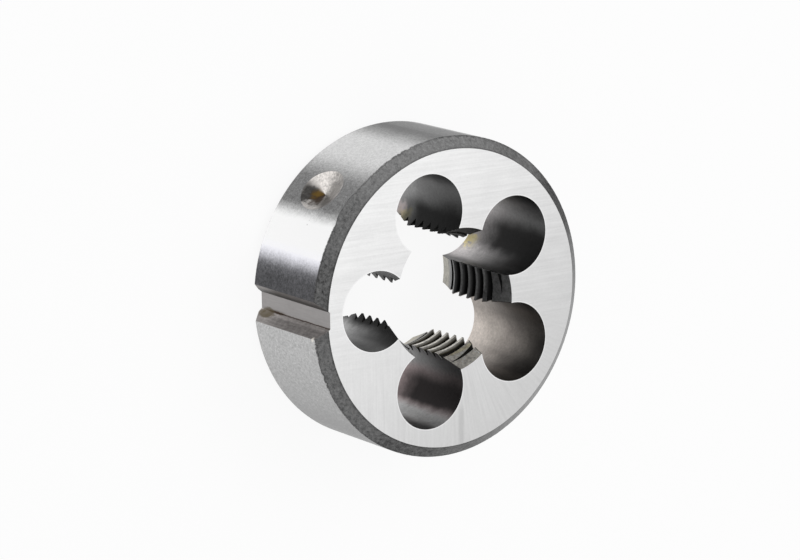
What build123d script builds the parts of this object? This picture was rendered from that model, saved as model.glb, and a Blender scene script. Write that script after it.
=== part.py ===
from build123d import *
import os
from math import asin, ceil, cos, degrees, radians, sqrt, tan

# Round threading die: one ring of hardened tool steel that cuts an outside thread on a rod.
# All lengths are in millimetres. The die lies on its back face with the thread axis on +Z and
# the face that starts the thread up. The clearance hole behind the adjusting groove is on -Y.
# Each land cuts with its anticlockwise edge, as seen from the front; its other edge is the heel.

# --- Blank -----------------------------------------------------------------------------------
body_diameter = 38.0
body_thickness = 14.0
front_chamfer_width = 1.37  # radial
front_chamfer_height = 1.15  # along the axis
back_chamfer_width = 1.1
back_chamfer_height = 0.86

# --- Thread, metric fine, right-hand -----------------------------------------------------------
thread_diameter = 16.0
thread_pitch = 1.5
thread_angle = 60.0
root_clearance = 0.08  # the groove is cut this much deeper than the rod's outside
crest_flat_share = 1 / 4  # of the pitch, on the tips of the teeth
rod_flat_share = 1 / 8  # of the pitch, on the rod's outside
crest_height = 0.76  # of one tooth above the back face, where the thread passes -Y

# --- Lead chamfers, the cones that let the rod in at each face ---------------------------------
front_lead_half_angle = 21.0
front_mouth_margin = 0.55  # how far the mouth stands outside the thread's diameter
front_lead_relief = 1.0  # each land's cone is centred this far off the axis, towards its heel
back_lead_half_angle = 21.0
back_mouth_margin = 0.95

# --- Lands that carry the teeth, and the clearance holes between them --------------------------
land_count = 5
land_width = 4.18  # across one land, over its tips
rim_wall = 3.375  # steel left between a clearance hole and the outside

# --- Adjusting groove along the outside, and the seats for the holder's set screws -------------
groove_width = 4.41
groove_depth = 1.62
groove_angle = 80.0
groove_offset_angle = 0.65  # from the middle of the clearance hole behind it
seat_diameter = 6.8
seat_angle = 140.0
seat_height = 6.8  # above the back face
seat_to_groove_angle = 45.75
seat_count = 2

# --- Cutters -----------------------------------------------------------------------------------
cutter_overrun = 0.1  # how far a cutter starts outside the steel it cuts
land_overrun_angle = 4.0  # how far a cutter for one land runs past each side of it

body_radius = body_diameter / 2
rod_radius = thread_diameter / 2
root_radius = rod_radius + root_clearance
flank_slope = tan(radians(thread_angle / 2))
half_rod_flat = thread_pitch * rod_flat_share / 2
half_opening = thread_pitch * (1 - crest_flat_share) / 2
tip_radius = rod_radius - (half_opening - half_rod_flat) / flank_slope

front_mouth_radius = rod_radius + front_mouth_margin
front_lead_slope = tan(radians(front_lead_half_angle))
back_mouth_radius = rod_radius + back_mouth_margin
back_lead_length = (back_mouth_radius - tip_radius) / tan(radians(back_lead_half_angle))

# A clearance hole touches the rim wall on its outer side and passes through the edges of the
# two lands beside it. Both conditions fix its radius and the circle that its centre lies on.
sector_angle = 360 / land_count
land_half_angle = degrees(asin(land_width / 2 / tip_radius))
opening_reach = tip_radius * cos(radians(sector_angle / 2 - land_half_angle))
hole_reach = body_radius - rim_wall
hole_circle_radius = (hole_reach**2 - tip_radius**2) / (hole_reach - opening_reach) / 2
hole_radius = hole_reach - hole_circle_radius

back_azimuth = -90.0
groove_azimuth = back_azimuth + groove_offset_angle
seat_azimuth = groove_azimuth - seat_to_groove_angle
land_azimuths = [back_azimuth + sector_angle * (land + 1 / 2) for land in range(land_count)]
land_cut_half_angle = land_half_angle + land_overrun_angle


def turned_blank():
    """The ring as it leaves the lathe: rim chamfers outside, bore and back lead inside."""
    section = Plane.XZ * Polygon(
        (body_radius - back_chamfer_width, 0),
        (body_radius, back_chamfer_height),
        (body_radius, body_thickness - front_chamfer_height),
        (body_radius - front_chamfer_width, body_thickness),
        (tip_radius, body_thickness),
        (tip_radius, back_lead_length),
        (back_mouth_radius, 0),
        align=None,
    )
    return revolve(section, Axis.Z)


def clearance_holes():
    """One drill for each gap between two lands, right through the ring."""
    drill = Cylinder(
        hole_radius,
        body_thickness + 2 * cutter_overrun,
        align=(Align.CENTER, Align.CENTER, Align.MIN),
    )
    drill = Pos(0, 0, -cutter_overrun) * drill
    return [place * drill for place in PolarLocations(hole_circle_radius, land_count, back_azimuth)]


def thread_cutters():
    """The thread is one helix, but it only meets steel on the lands, so each land is cut by itself.
    A cutter is the groove's trapezoid, carried along the short stretch of helix over one land."""
    half_root = half_rod_flat - root_clearance * flank_slope
    half_mouth = half_opening + cutter_overrun * flank_slope
    groove = Plane.XZ * Polygon(
        (tip_radius - cutter_overrun, -half_mouth),
        (root_radius, -half_root),
        (root_radius, half_root),
        (tip_radius - cutter_overrun, half_mouth),
        align=None,
    )
    rise = thread_pitch * 2 * land_cut_half_angle / 360
    cutter = sweep(groove, Helix(thread_pitch, rise, tip_radius), is_frenet=True)
    groove_height = crest_height - thread_pitch / 2
    cutters = []
    for azimuth in land_azimuths:
        start = azimuth - land_cut_half_angle
        start_height = groove_height + thread_pitch * (start - back_azimuth) / 360
        for turn in range(-1, ceil(body_thickness / thread_pitch) + 1):
            height = start_height + turn * thread_pitch
            cutters.append(Location((0, 0, height), (0, 0, start)) * cutter)
    return cutters


def front_lead_cutters():
    """The front lead cuts first, so each land is relieved: its cone is off centre towards the
    heel, which leaves the cutting edge nearest to the rod. A wedge keeps each cone to its land."""
    length = (front_mouth_radius - tip_radius + front_lead_relief) / front_lead_slope
    outer_radius = front_mouth_radius + cutter_overrun * front_lead_slope
    inner_radius = outer_radius - (length + cutter_overrun) * front_lead_slope
    cone = Cone(
        inner_radius,
        outer_radius,
        length + cutter_overrun,
        align=(Align.CENTER, Align.CENTER, Align.MAX),
    )
    top = body_thickness + cutter_overrun
    cone = Pos(0, -front_lead_relief, top) * cone
    half_wedge_width = body_radius * tan(radians(land_cut_half_angle))
    wedge = extrude(
        Polygon(
            (0, 0),
            (body_radius, -half_wedge_width),
            (body_radius, half_wedge_width),
            align=None,
        ),
        top,
    )
    cutter = cone & wedge
    return [Rot(0, 0, azimuth) * cutter for azimuth in land_azimuths]


def adjusting_groove():
    """A V groove with a flat floor, along the full thickness of the outside."""
    wall_slope = tan(radians(groove_angle / 2))
    edge_radius = sqrt(body_radius**2 - (groove_width / 2) ** 2)
    floor_radius = body_radius - groove_depth
    outer_radius = body_radius + cutter_overrun
    half_floor = groove_width / 2 - (edge_radius - floor_radius) * wall_slope
    half_outer = groove_width / 2 + (outer_radius - edge_radius) * wall_slope
    section = Polygon(
        (floor_radius, -half_floor),
        (outer_radius, -half_outer),
        (outer_radius, half_outer),
        (floor_radius, half_floor),
        align=None,
    )
    cutter = extrude(section, body_thickness + 2 * cutter_overrun)
    return Location((0, 0, -cutter_overrun), (0, 0, groove_azimuth)) * cutter


def screw_seats():
    """Cones sunk into the outside near half the thickness, where the holder's screws press."""
    cone_slope = tan(radians(seat_angle / 2))
    depth = seat_diameter / 2 / cone_slope + cutter_overrun
    cone = Cone(0, depth * cone_slope, depth, align=(Align.CENTER, Align.CENTER, Align.MAX))
    cone = Pos(body_radius + cutter_overrun, 0, seat_height) * Rot(0, 90, 0) * cone
    return [Rot(0, 0, seat_azimuth + 360 * seat / seat_count) * cone for seat in range(seat_count)]


die_body = turned_blank()
die_body -= clearance_holes()
die_body -= front_lead_cutters()
die_body = die_body.cut(*thread_cutters())
die_body -= adjusting_groove()
die_body -= screw_seats()

os.makedirs("parts", exist_ok=True)
export_step(die_body, "parts/die_body.step")
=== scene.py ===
import math

import bpy
from mathutils import Matrix, Vector

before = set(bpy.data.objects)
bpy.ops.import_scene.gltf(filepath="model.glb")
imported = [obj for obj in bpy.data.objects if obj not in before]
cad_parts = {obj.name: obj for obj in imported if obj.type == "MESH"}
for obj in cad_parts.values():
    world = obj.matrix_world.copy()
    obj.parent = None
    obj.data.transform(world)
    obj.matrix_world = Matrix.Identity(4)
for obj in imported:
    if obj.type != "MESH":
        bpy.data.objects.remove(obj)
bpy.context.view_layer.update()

# --- The die's steel ----------------------------------------------------------------------------
# The die is one ring of tool steel. It is turned, drilled, threaded and hardened, and its flats
# and rim are ground last, so the dark scale of the hardening stays everywhere else. Each section
# below lays one surface's finish over those before it. Its sizes are in millimetres and degrees.

MILLIMETRES = 1000.0  # in a metre


class Shade:
    """A socket in a material. Expressions on it add the Math nodes that they need."""

    def __init__(self, tree, socket=None):
        self.tree = tree
        self.socket = socket

    def node(self, kind, settings=None, sockets=None, out=0):
        """Adds a node: its settings first, then the value or the link of each socket named."""
        made = self.tree.nodes.new("ShaderNode" + kind)
        for name, value in (settings or {}).items():
            setattr(made, name, value)
        for name, value in (sockets or {}).items():
            if isinstance(value, Shade):
                self.tree.links.new(value.socket, made.inputs[name])
            else:
                made.inputs[name].default_value = value
        return Shade(self.tree, made.outputs[out])

    def other(self, out):
        """Another output of the same node."""
        return Shade(self.tree, self.socket.node.outputs[out])

    def feeds(self, socket):
        self.tree.links.new(self.socket, socket)

    def math(self, operation, *terms):
        return self.node("Math", {"operation": operation}, dict(enumerate(terms)))

    def __add__(self, other):
        return self.math("ADD", self, other)

    __radd__ = __add__

    def __sub__(self, other):
        return self.math("SUBTRACT", self, other)

    def __rsub__(self, other):
        return self.math("SUBTRACT", other, self)

    def __mul__(self, other):
        return self.math("MULTIPLY", self, other)

    __rmul__ = __mul__

    def __truediv__(self, other):
        return self.math("DIVIDE", self, other)

    def __abs__(self):
        return self.math("ABSOLUTE", self)

    def length(self, other):
        """The length of the vector that has this and the other as its two parts."""
        return self.math("SQRT", self * self + other * other)

    def heading(self, other):
        """The direction in degrees of the vector that has this and the other as its two parts."""
        return self.math("ARCTAN2", other, self) * (180 / math.pi)

    def rise(self, low, high):
        """0 below low and 1 above high, with a smooth step between them."""
        ends = {"Value": self, "From Min": low, "From Max": high}
        return self.node("MapRange", {"interpolation_type": "SMOOTHSTEP"}, ends)

    def band(self, middle, half, soft):
        """1 within half of middle, falling smoothly to 0 over the next soft."""
        return 1 - abs(self - middle).rise(half, half + soft)

    def turned(self, middle, whole=360):
        """An angle in degrees from the middle, where the pattern repeats after that whole."""
        return self.math("WRAP", self - middle, whole / 2, -whole / 2)

    def mix(self, under, over):
        """The number under where this mask is 0, and over where it is 1."""
        return self.node("Mix", {}, {0: self, 2: under, 3: over})

    def tint(self, under, over):
        """The colour under where this mask is 0, and over where it is 1."""
        return self.node("Mix", {"data_type": "RGBA"}, {0: self, 6: under, 7: over}, out=2)

    def glow(self, red=0.0, blue=0.0):
        """A grey of this brightness, with more red and more blue in it by those shares."""
        return self.node("CombineColor", {}, {0: self * (1 + red), 1: self, 2: self * (1 + blue)})


def start_material(name):
    """A new material, its Principled shader, and a Shade from which its nodes are added."""
    material = bpy.data.materials.new(name)
    material.use_nodes = True
    tree = material.node_tree
    return material, tree.nodes["Principled BSDF"], Shade(tree)


steel, steel_shader, start = start_material("hardened_tool_steel")
metres = start.node("TexCoord", out="Object")
place = metres.node("VectorMath", {"operation": "SCALE"}, {0: metres, "Scale": MILLIMETRES})
x = place.node("SeparateXYZ", {}, {0: place})
y, z = x.other(1), x.other(2)
normal = start.node("NewGeometry", out="Normal")
upward = normal.node("SeparateXYZ", {}, {0: normal}, out=2)
radius = x.length(y)
azimuth = x.heading(y)


def speckle(scale, detail=2.0, rough=0.5, stretch=(1, 1, 1), at=place):
    """Even noise from -1 to 1, mostly within 0.5, at scale bumps to the millimetre."""
    moved = at.node("Mapping", {}, {0: at, "Scale": stretch})
    values = {"Vector": moved, "Scale": scale, "Detail": detail, "Roughness": rough}
    return moved.node("TexNoise", {}, values) * 2 - 1


cloud = speckle(0.35, 3.0)
mottle = speckle(1.6, 3.0, 0.6)
grit = speckle(3.2, 3.0, 0.7)
grain = speckle(7.0, 3.0, 0.6)

# --- Ground rim ---------------------------------------------------------------------------------
# The outside is ground to fit the holder and then tumbled, which leaves a fine even grain. Its
# gloss shows bright and dull bands along it, and a brighter stretch just past the groove.
# These are painted reflections in its colour here, because a die that lies flat mirrors the
# plain floor, and they are the same on both halves of its turn.

HALF_TURN = 180
GROOVE_AZIMUTH = -89.35
RIM_LEVEL = 0.20  # on the side of the groove where the rim is duller
RIM_STEP = 0.29  # how much brighter it is just past the groove
# Each band below is a painted reflection on the rim.
RIM_BANDS = (  # azimuth, half width, soft edge, brightness
    (-198, 2, 8, 0.43),
    (-184, 14, 10, -0.145),
    (-157.5, 5, 15, 0.47),
    (-116.4, 4.9, 7.7, 0.80),
    (-98, 2, 9, -0.125),
    (-29, 6, 22, -0.07),
)
BRIGHTEST_STEEL = 0.98
BLUISH_AZIMUTH = -102
RIM_ROUGHNESS = 0.36


def banded(level, angle, bands, whole=360):
    """The level with each band's brightness added at its azimuth, and again after the whole."""
    for middle, half, soft, brightness in bands:
        level = level + angle.turned(middle, whole).band(0, half, soft) * brightness
    return level


wavy_azimuth = azimuth + cloud * 0.8
past_groove = wavy_azimuth.turned(GROOVE_AZIMUTH + 0.35, HALF_TURN)
brighter_side = past_groove.rise(-3, 3) * (1 - past_groove.rise(6, 66) * 0.9)
rim_level = banded(RIM_LEVEL + brighter_side * RIM_STEP, wavy_azimuth, RIM_BANDS, HALF_TURN)
rim_level = rim_level + (mottle + cloud) * 0.025
rim_level = rim_level * (1 + (grit + grain * 0.8) * (1.01 - rim_level))
rim_level = rim_level.math("MINIMUM", rim_level, BRIGHTEST_STEEL)
pits = (speckle(2.2, 1.0) + speckle(9.0, 1.0) * 0.3).rise(0.62, 0.74)
rim_level = rim_level * (1 - pits * 0.45)
# A bluish tint along the rim, beside the dull band near the groove.
bluish_band = azimuth.turned(BLUISH_AZIMUTH, HALF_TURN).band(0, 6, 6)
colour = rim_level.glow(0.0, bluish_band * 0.07)
roughness = RIM_ROUGHNESS + grain * 0.12
relief = grain * 0.004 - pits * 0.02

# --- Ground faces -------------------------------------------------------------------------------
# Both flats are ground on a turning table, and are the brightest surfaces. The marks cross them
# in long fine lines: along Y at the left (-X), along X at the lower right, and fanned out at the
# upper right.

THICKNESS = 14.0
FACE_LEVEL = 0.84
FACE_FALL = 0.25  # how much duller the upper right is than the lower left
FACE_ROUGHNESS = 0.33
STREAK_X, STREAK_Y = 15.5, 1.1
MARK_STRETCH = 0.035  # how fast a grinding mark changes along itself, against across it
FAN_STRETCH = 0.04
FAN_SLICE = 4.0  # which slice of the noise the fanned marks show

level_faces = abs(upward).rise(0.97, 0.995)
at_an_end = abs(z - THICKNESS / 2).rise(THICKNESS / 2 - 0.2, THICKNESS / 2 - 0.1)
face = level_faces * at_an_end
polar = azimuth.node("CombineXYZ", {}, {0: azimuth * 0.25, 1: radius, 2: FAN_SLICE})
lengthwise = speckle(3.4, 4.0, 0.7, (1, MARK_STRETCH, 1)) + cloud * 0.3
crosswise = speckle(3.4, 4.0, 0.7, (MARK_STRETCH, 1, 0.9)) + cloud * 0.3
fanned = speckle(3.0, 4.0, 0.7, (1, FAN_STRETCH, 1), polar)
right = (x + cloud * 4).rise(2, 9)
lower = 1 - (y + cloud * 4).rise(-6, 1)
marks = right.mix(lengthwise, lower.mix(fanned, crosswise))

# The upper right is painted duller than the lower left: painted light across the face.
face_level = FACE_LEVEL - (x * 0.8 + y * 0.6).rise(-24, 22) * FACE_FALL
face_level = face_level * (1 + marks * 0.15 + grit * 0.06)
# A faint dark streak on the front face, towards the right.
dark_streak = x.band(STREAK_X, 1.5, 1.5) * y.band(STREAK_Y, 0.1, 0.5) * upward.rise(0, 1)
face_level = face_level * (1 - dark_streak * 0.16)
colour = face.tint(colour, face_level.glow())
roughness = face.mix(roughness, FACE_ROUGHNESS + marks * 0.08)
relief = face.mix(relief, marks * 0.003)

# --- Rim chamfers -------------------------------------------------------------------------------
# A turned chamfer runs round each end of the rim. The grinding wheel never touches it, so it
# keeps the rough dark scale of the hardening, with a ragged border against the ground rim. Its
# brighter and darker stretches round the turn are painted reflections, as on the rim.

FRONT_SCALE_EDGE = 12.86  # heights where the scale starts and ends, at the chamfers' corners
BACK_SCALE_EDGE = 0.86
CHAMFER_LEVEL = 0.142
SCALE_ROUGHNESS = 0.5
# Painted reflections round the chamfers:
CHAMFER_BANDS = (  # azimuth, half width, soft edge, brightness
    (-168, 22, 20, 0.05),
    (56, 14, 38, 0.145),
    (121, 6, 14, -0.11),
    (-20, 8, 14, -0.045),
    (-101, 5, 12, -0.035),
)

ragged = (mottle * 0.13 + grit * 0.16) * (1 - azimuth.band(-112, 10, 10) * 0.6) + grain * 0.05
chipped = azimuth.band(-131, 3, 4) * 0.3
past_front = z + ragged + chipped - FRONT_SCALE_EDGE
past_back = BACK_SCALE_EDGE - z + ragged
outside = radius.rise(17.2, 17.3) * (1 - face)
scale = (past_front.rise(-0.05, 0.05) + past_back.rise(-0.04, 0.04)) * outside
flakes = speckle(2.2, 5.0, 0.8)
scale_level = CHAMFER_LEVEL + flakes * 0.20 + grit * 0.06 + grain * 0.05
scale_level = banded(scale_level, azimuth, CHAMFER_BANDS)
dark_border = past_front.band(0.05, 0.04, 0.08)
dark_corner = (z + ragged * 0.4).rise(THICKNESS - 0.2, THICKNESS - 0.03)
scale_level = scale_level * (1 - dark_border * 0.3) * (1 - dark_corner * 0.35)
colour = scale.tint(colour, scale_level.glow())
roughness = scale.mix(roughness, SCALE_ROUGHNESS + flakes * 0.1)
relief = scale.mix(relief, flakes * 0.02)

# --- Chip holes ---------------------------------------------------------------------------------
# Five holes are drilled round the thread and cut into it, to carry the chips away. Their walls
# are as they left the furnace: dark scale, browner towards the back face. The light along each
# wall, which grows towards the back face, is painted in its colour, as the rim's reflections are.

HOLE_COUNT = 5
FIRST_HOLE = -90
HOLE_CIRCLE = 10.896
HOLE_RADIUS = 4.729
HOLE_LEVEL = 0.015
HOLE_ROUGHNESS = 0.42
UMBER_HOLE, WARM_HOLE, STRAW_HOLE, TEA_HOLE = -18, 54, 126, 198  # azimuths
EDGE_LIGHT, LEFT_LIGHT, WARM_LIGHT, RIGHT_LIGHT = 3, 24, 66, 110  # angles round a hole's wall
STRAW_ANGLE, TEA_ANGLE, BARE_ANGLE = 47, 62, 71
TEA_HEIGHT, BARE_HEIGHT = 3.3, 2.3


def display_colour(*channels):
    """The scene-linear colour of a red, green and blue of 0 to 255, by the sRGB curve undone."""
    shares = [channel / 255 for channel in channels]
    curve = [v / 12.92 if v <= 0.04045 else ((v + 0.055) / 1.055) ** 2.4 for v in shares]
    return (*curve, 1.0)


MOUTH_HIGHLIGHT_COLOUR = display_colour(250, 250, 250)

spacing = 360 / HOLE_COUNT
hole_azimuth = azimuth.math("ROUND", (azimuth - FIRST_HOLE) / spacing) * spacing + FIRST_HOLE
hole_turn = hole_azimuth * (math.pi / 180)
across = x - x.math("COSINE", hole_turn) * HOLE_CIRCLE
along = y - x.math("SINE", hole_turn) * HOLE_CIRCLE
wall_angle = across.heading(along) + cloud * 8
from_centre = across.length(along)
hole = from_centre.band(HOLE_RADIUS, 0.05, 0.03) * (1 - face)
umber, warm, straw, tea = (
    hole_azimuth.band(middle, 5, 5) for middle in (UMBER_HOLE, WARM_HOLE, STRAW_HOLE, TEA_HOLE)
)

high = (z + cloud * 2).rise(1, 12.5)
low = 1 - high
low_end = 1 - (z + cloud * 2).rise(0.5, 6)
towards_back = 1 - (z + cloud * 2).rise(0, THICKNESS)
edge_light = wall_angle.turned(EDGE_LIGHT, HALF_TURN).band(0, 8, 14)
left_light = wall_angle.turned(LEFT_LIGHT, HALF_TURN).band(0, 6, 20)
warm_light = wall_angle.turned(WARM_LIGHT, HALF_TURN).band(0, 8, 34)
right_light = wall_angle.turned(RIGHT_LIGHT, HALF_TURN).band(0, 8, 27)
# The light along the walls below is painted light, growing towards the back face.
hole_level = HOLE_LEVEL + edge_light * 0.035 + left_light * (0.01 + low * 0.34)
hole_level = hole_level + right_light * (0.09 + low * 0.13) * (1 - warm * 0.1)
hole_level = hole_level + low_end * wall_angle.turned(26).rise(-20, 4) * (0.21 - warm * 0.09)
hole_level = hole_level + warm * towards_back * warm_light * 0.46
hole_level = hole_level + umber * high * (left_light * 0.25 + edge_light * 0.06)
hole_level = hole_level * (1 + mottle * 0.28 + grit * 0.25)

straw_stain = straw * (wall_angle + mottle * 20).band(STRAW_ANGLE, 5, 10)
straw_stain = straw_stain * (1 - (z + mottle).rise(0.8, 2.8))
spot_angle = wall_angle + mottle * 14
spot_height = z + mottle * 0.6
tea_stain = tea * spot_angle.band(TEA_ANGLE, 3, 9) * spot_height.band(TEA_HEIGHT, 0.3, 1.5)
bare_spot = tea * spot_angle.band(BARE_ANGLE, 3, 12) * spot_height.band(BARE_HEIGHT, 0.3, 1.2)
hole_level = hole_level + straw_stain * 0.12 + bare_spot * 0.17 + tea_stain * 0.025
stain = straw_stain + tea_stain * 0.7
red = warm * 0.10 + straw * low * 0.05 + stain * 0.10 + bare_spot * 0.12
red = red + umber * wall_angle.band(68, 20, 20) * 0.22
colour = hole.tint(colour, hole_level.glow(red, warm * -0.08 - stain * 0.45))
# A painted highlight on the face round each hole's mouth, where its edge catches the light.
mouth_highlight = from_centre.band(HOLE_RADIUS + 0.06, 0.05, 0.03) * face
colour = (mouth_highlight * 0.4).tint(colour, MOUTH_HIGHLIGHT_COLOUR)
roughness = hole.mix(roughness, HOLE_ROUGHNESS + mottle * 0.1)
relief = hole.mix(relief, mottle * 0.006 + grain * 0.004)

# --- Threaded lands -----------------------------------------------------------------------------
# Between the holes stand five lands with the cutting teeth, cut by a tap, and a ground cone leads
# in from each face. One land's crests, flanks and front lead are painted brighter, as painted
# light, and the flanks are painted darker towards their roots, as painted shade.

LAND_REACH = 9.65  # the radius within which the steel between the holes is thread or lead
BRIGHT_LAND = 18  # azimuth
CREST_LEVEL = 0.06
FLANK_LEVEL = 0.035
ROOT_LEVEL = 0.005
LEAD_LEVEL = 0.17
LAND_ROUGHNESS = 0.4
GOLD_RADIUS = 7.5

land = (1 - radius.rise(LAND_REACH - 0.05, LAND_REACH + 0.05)) * (1 - hole) * (1 - face)
flank = abs(upward).rise(0.55, 0.75)
lead = abs(upward).rise(0.2, 0.3) * (1 - flank)
# One land is painted brighter in its crests, flanks and front lead: painted light.
bright_land = azimuth.band(BRIGHT_LAND, 22, 12)
back_end = 1 - z.rise(2, 3)
tooth_radius = radius + mottle * 0.1
# The flanks are painted darker towards their roots: painted shade.
root = tooth_radius.rise(7.15, 7.55)
crest_level = CREST_LEVEL + bright_land * (0.46 + mottle * 0.30)
flank_level = (FLANK_LEVEL + bright_land * 0.08) * (1 - root) + ROOT_LEVEL
lead_level = LEAD_LEVEL + bright_land * z.rise(6, 8) * 0.66 + back_end * 0.17
land_level = flank.mix(lead.mix(crest_level, lead_level), flank_level)
land_level = land_level * (1 + mottle * 0.45 + grit * 0.5)
gold = bright_land * tooth_radius.band(GOLD_RADIUS, 0.03, 0.15) * 0.5 + back_end * lead * 0.4
land_colour = land_level.glow(bright_land * 0.04 + gold * 0.12, bright_land * -0.08 - gold * 0.35)
colour = land.tint(colour, land_colour)
roughness = land.mix(roughness, LAND_ROUGHNESS)
relief = land.mix(relief, grain * 0.003)

# --- Adjusting groove ---------------------------------------------------------------------------
# One groove runs along the rim for the holder's middle screw. It is milled before hardening, in
# one pass, and keeps a thin pinkish scale with the cutter's lines along it, and a rust stain. Its
# walls are painted darker than its floor, and the crease between the floor and the lower wall
# darker still, as painted shade. A burr at its front corner has a painted glint.

GROOVE_FLOOR = 17.38
GROOVE_HALF_WIDTH = 2.19
UPPER_WALL_LEVEL = 0.10
LOWER_WALL_LEVEL = 0.19
GROOVE_FLOOR_LEVEL = 0.345
GROOVE_ROUGHNESS = 0.5
CREASE_SIDE = 1.02  # across the groove, where its floor meets the lower wall
STAIN_SIDE, STAIN_HEIGHT = 1.65, 1.55
BURR_SIDE, BURR_HEIGHT = 2.25, 12.5
CREASE_SHADE_COLOUR = display_colour(72, 58, 46)
STAIN_COLOUR = display_colour(96, 86, 66)
BURR_GLINT_COLOUR = display_colour(235, 230, 222)


def facing(middle):
    """How far out a point stands towards that azimuth from the axis, and how far to its side."""
    cosine, sine = math.cos(math.radians(middle)), math.sin(math.radians(middle))
    return x * cosine + y * sine, y * cosine - x * sine


groove_out, groove_side = facing(GROOVE_AZIMUTH)
groove = groove_side.band(0, GROOVE_HALF_WIDTH, 0.03) * groove_out.rise(16.5, 16.6) * (1 - face)
groove = groove * (1 - radius.rise(18.97, 18.985)) * (1 - upward.rise(0.3, 0.5))
groove_floor = groove * (1 - groove_out.rise(GROOVE_FLOOR + 0.02, GROOVE_FLOOR + 0.06))
milled = speckle(5.0, 3.0, 0.6, (1, 1, 0.08))
wall_height = groove_out - GROOVE_FLOOR
lower_wall = groove_side.rise(-0.5, 0.5)
# The walls are painted darker than the floor: painted shade.
upper_level = UPPER_WALL_LEVEL + (wall_height + mottle * 0.2).rise(0.4, 1.1) * 0.11
lower_level = LOWER_WALL_LEVEL + (1 - z.rise(1, 6)) * 0.10 + mottle * 0.12
lower_level = lower_level * (1 + (1 - wall_height.rise(0.1, 0.8)) * 0.9)
wall_level = lower_wall.mix(upper_level, lower_level) * (1 + milled * 0.60 + grain * 0.15)
colour = groove.tint(colour, wall_level.glow(0.07, -0.03))
floor_level = GROOVE_FLOOR_LEVEL * (1 + milled * 0.14 + mottle * 0.06)
colour = groove_floor.tint(colour, floor_level.glow(0.04, -0.01))
unrolled = groove_side + wall_height
crease_side = unrolled + mottle * 0.1
# A painted shade along the crease between the groove's floor and its lower wall.
crease_shade = crease_side.band(CREASE_SIDE, 0.05, 0.12) * z.rise(1, 2)
crease_shade = crease_shade + crease_side.band(CREASE_SIDE + 0.03, 0.1, 0.3) * z.band(3.2, 0.5, 1.6)
colour = (groove * crease_shade * 0.8).tint(colour, CREASE_SHADE_COLOUR)
from_stain = (unrolled - STAIN_SIDE).length((z - STAIN_HEIGHT) * 0.68) + mottle * 0.4
rust_stain = groove * (1 - from_stain.rise(0.75, 1.15))
colour = (rust_stain * (0.85 + mottle * 0.3)).tint(colour, STAIN_COLOUR)
# A real burr at the groove's front corner, with its glint painted as a pale spot.
burr_glint = 1 - (groove_side - BURR_SIDE).length(z - BURR_HEIGHT).rise(0.12, 0.35)
colour = (burr_glint * groove_out.rise(18, 18.5) * 0.8).tint(colour, BURR_GLINT_COLOUR)
roughness = groove.mix(roughness, GROOVE_ROUGHNESS)
relief = groove.mix(relief, milled * 0.006)

# --- Screw seats --------------------------------------------------------------------------------
# A wide drill point sinks two opposite seats for the holder's set screws. Each is painted with
# light and shade: bright on one side, dark and dull on others, with pale stretches of its lip.
# Rust and old oil gather in the one that is used.

SEAT_AZIMUTH = -135.1
SEAT_HEIGHT = 6.8
SEAT_RADIUS = 3.4
SEAT_LEVEL = 0.28
SEAT_ROUGHNESS = 0.4
BRIGHT_TURN, DARK_TURN, RUST_TURN, OIL_TURN = -138, -66, -30, -72  # directions round the cone
DULL_TURN, LOWER_LIP_TURN = 60, 4
RUST_COLOUR = display_colour(52, 36, 20)
OIL_COLOUR = display_colour(118, 94, 46)

seat_out, seat_side = facing(SEAT_AZIMUTH)
seat_side = seat_side * x.math("SIGN", seat_out)
seat_up = z - SEAT_HEIGHT
spread = seat_side.length(seat_up)
seat = (1 - spread.rise(SEAT_RADIUS, SEAT_RADIUS + 0.1)) * (1 - radius.rise(18.96, 18.985))
seat = seat * radius.rise(17.4, 17.5)
seat_turn = seat_side.heading(seat_up + 0.35) + mottle * 20
# The bright, dark and dull sides and the pale lip are painted light and shade.
from_bright = seat_turn.turned(BRIGHT_TURN)
bright = from_bright.rise(-96, -8) * (1 - from_bright.rise(10, 48))
dark = seat_turn.turned(DARK_TURN).band(0, 20, 26)
dull = seat_turn.band(DULL_TURN, 8, 22)
lip_highlight = (spread + mottle * 0.3).rise(2.9, 3.3)
lower_lip_highlight = seat_turn.band(LOWER_LIP_TURN, 26, 22) * (spread + mottle * 0.6).rise(1.9, 2.6)
seat_level = SEAT_LEVEL + bright * 0.52 - dark * 0.22 - dull * 0.12
seat_level = seat_level + lip_highlight * 0.08 + lower_lip_highlight * 0.17
seat_level = seat_level * (1 + grit * 0.50 + mottle * 0.45)
colour = seat.tint(colour, seat_level.glow(0.05, -0.04))
used = seat * seat_out.rise(0, 1)
rust = seat_turn.turned(RUST_TURN).band(0, 42, 28) * (1 - (spread + mottle * 0.9).rise(1.3, 2.4))
colour = (used * rust * 0.95).tint(colour, RUST_COLOUR)
oil = seat_turn.turned(OIL_TURN).band(0, 10, 42) * (spread + mottle).band(1.05, 0.2, 0.9)
colour = (used * oil * 0.7).tint(colour, OIL_COLOUR)
roughness = seat.mix(roughness, SEAT_ROUGHNESS)
relief = seat.mix(relief, mottle * 0.01 + grain * 0.004)

# --- Finish on the die --------------------------------------------------------------------------
# The finishes above go on the ring as one material, bare metal all over, because the real die
# has no coat or plating and is all one piece of steel.

colour.feeds(steel_shader.inputs["Base Color"])
roughness.feeds(steel_shader.inputs["Roughness"])
steel_shader.inputs["Metallic"].default_value = 1.0
bump = relief.node("Bump", {}, {"Height": relief, "Strength": 1.0, "Distance": 1 / MILLIMETRES})
bump.feeds(steel_shader.inputs["Normal"])
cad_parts["die_body"].material_slots[0].material = steel

# --- Floor --------------------------------------------------------------------------------------
# A plain white board that the die lies on. To the camera and in the steel's gloss it is white
# paper, with a share of the die's soft shadow.

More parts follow.
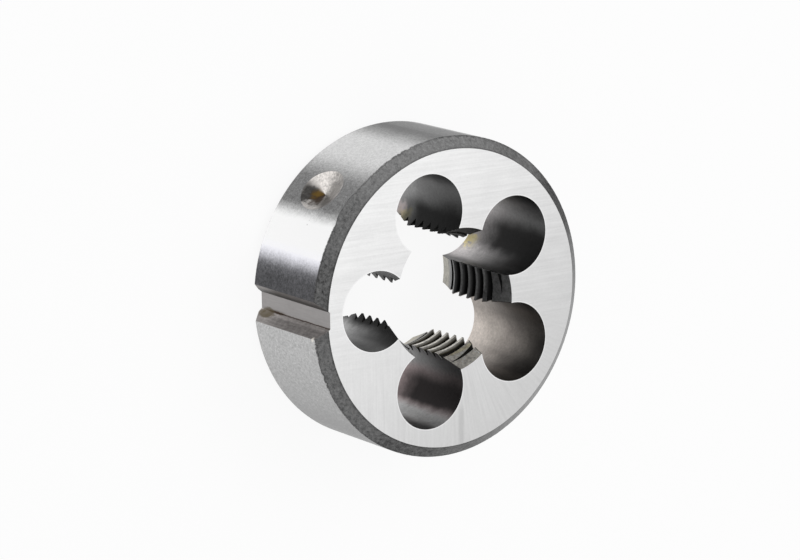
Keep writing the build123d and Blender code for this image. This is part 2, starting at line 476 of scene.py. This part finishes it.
FLOOR_REACH = 3.0  # metres to each side
SHADOW_SHARE = 0.09
BOARD_COLOUR = (0.9, 0.9, 0.9, 1)
BOARD_ROUGHNESS = 0.9

near, far = -FLOOR_REACH, FLOOR_REACH
corners = [(near, near, 0), (far, near, 0), (far, far, 0), (near, far, 0)]
floor_mesh = bpy.data.meshes.new("floor")
floor_mesh.from_pydata(corners, [], [(0, 1, 2, 3)])
floor = bpy.data.objects.new("floor", floor_mesh)
bpy.context.collection.objects.link(floor)
board, board_shader, start = start_material("white_board")
board_shader.inputs["Base Color"].default_value = BOARD_COLOUR
board_shader.inputs["Roughness"].default_value = BOARD_ROUGHNESS
board_shader.inputs["Specular IOR Level"].default_value = 0.0


def background_rays(start):
    """1 on the camera's rays, and 1 on those in gloss and glass: all that show a background."""
    camera_ray = start.node("LightPath", out="Is Camera Ray")
    gloss = camera_ray.other("Is Glossy Ray")
    glass = camera_ray.other("Is Transmission Ray")
    return camera_ray, camera_ray.math("MAXIMUM", gloss, glass)


camera_ray, gloss_ray = background_rays(start)
share = camera_ray.math("MAXIMUM", camera_ray * (1 - SHADOW_SHARE), gloss_ray)
paper = start.node("Emission", {}, {"Color": (1, 1, 1, 1), "Strength": 1.0})
lit = Shade(board.node_tree, board_shader.outputs[0])
shown = start.node("MixShader", {}, {0: share, 1: lit, 2: paper})
shown.feeds(board.node_tree.nodes["Material Output"].inputs["Surface"])
floor_mesh.materials.append(board)

# --- Studio light -------------------------------------------------------------------------------
# An even pale room, with one broad soft lamp above the die. The room is white wherever it is
# seen, and a little dimmer as a light.

ROOM_LIGHT = 0.75
LAMP_PLACE = Vector((-0.22, 0.20, 0.40))
LAMP_SIZE = 0.25
LAMP_POWER = 0.4

world = bpy.data.worlds.new("studio")
world.use_nodes = True
bpy.context.scene.world = world
camera_ray, gloss_ray = background_rays(Shade(world.node_tree))
seen = camera_ray.math("MAXIMUM", camera_ray, gloss_ray)
background = world.node_tree.nodes["Background"]
background.inputs["Color"].default_value = (1, 1, 1, 1)
seen.mix(ROOM_LIGHT, 1.0).feeds(background.inputs["Strength"])

lamp = bpy.data.lights.new("key_lamp", "AREA")
lamp.energy = LAMP_POWER
lamp.size = LAMP_SIZE
key_lamp = bpy.data.objects.new("key_lamp", lamp)
key_lamp.location = LAMP_PLACE
key_lamp.rotation_euler = (-LAMP_PLACE).to_track_quat("-Z", "Y").to_euler()
bpy.context.collection.objects.link(key_lamp)

# --- Camera -------------------------------------------------------------------------------------
# A long lens above the die, rolled so that the thread's axis lies nearly level in the picture.
# The matrix has the camera's right, up and back in its first three columns, and its place last.

SENSOR_WIDTH = 36.0
FOCAL_LENGTH = 160.5146
CAMERA_PLACE = Matrix(
    (
        (0.0073862, -0.9763321, -0.2161504, -0.0916322),
        (0.8112005, 0.1322449, -0.5696183, -0.2404977),
        (0.5847215, -0.1711340, 0.7929779, 0.3382200),
        (0, 0, 0, 1),
    )
)

camera_data = bpy.data.cameras.new("camera")
camera_data.sensor_width = SENSOR_WIDTH
camera_data.lens = FOCAL_LENGTH
camera_data.clip_start = 0.01
camera = bpy.data.objects.new("camera", camera_data)
camera.matrix_world = CAMERA_PLACE
bpy.context.collection.objects.link(camera)
bpy.context.scene.camera = camera

bpy.context.scene.view_settings.view_transform = "Standard"
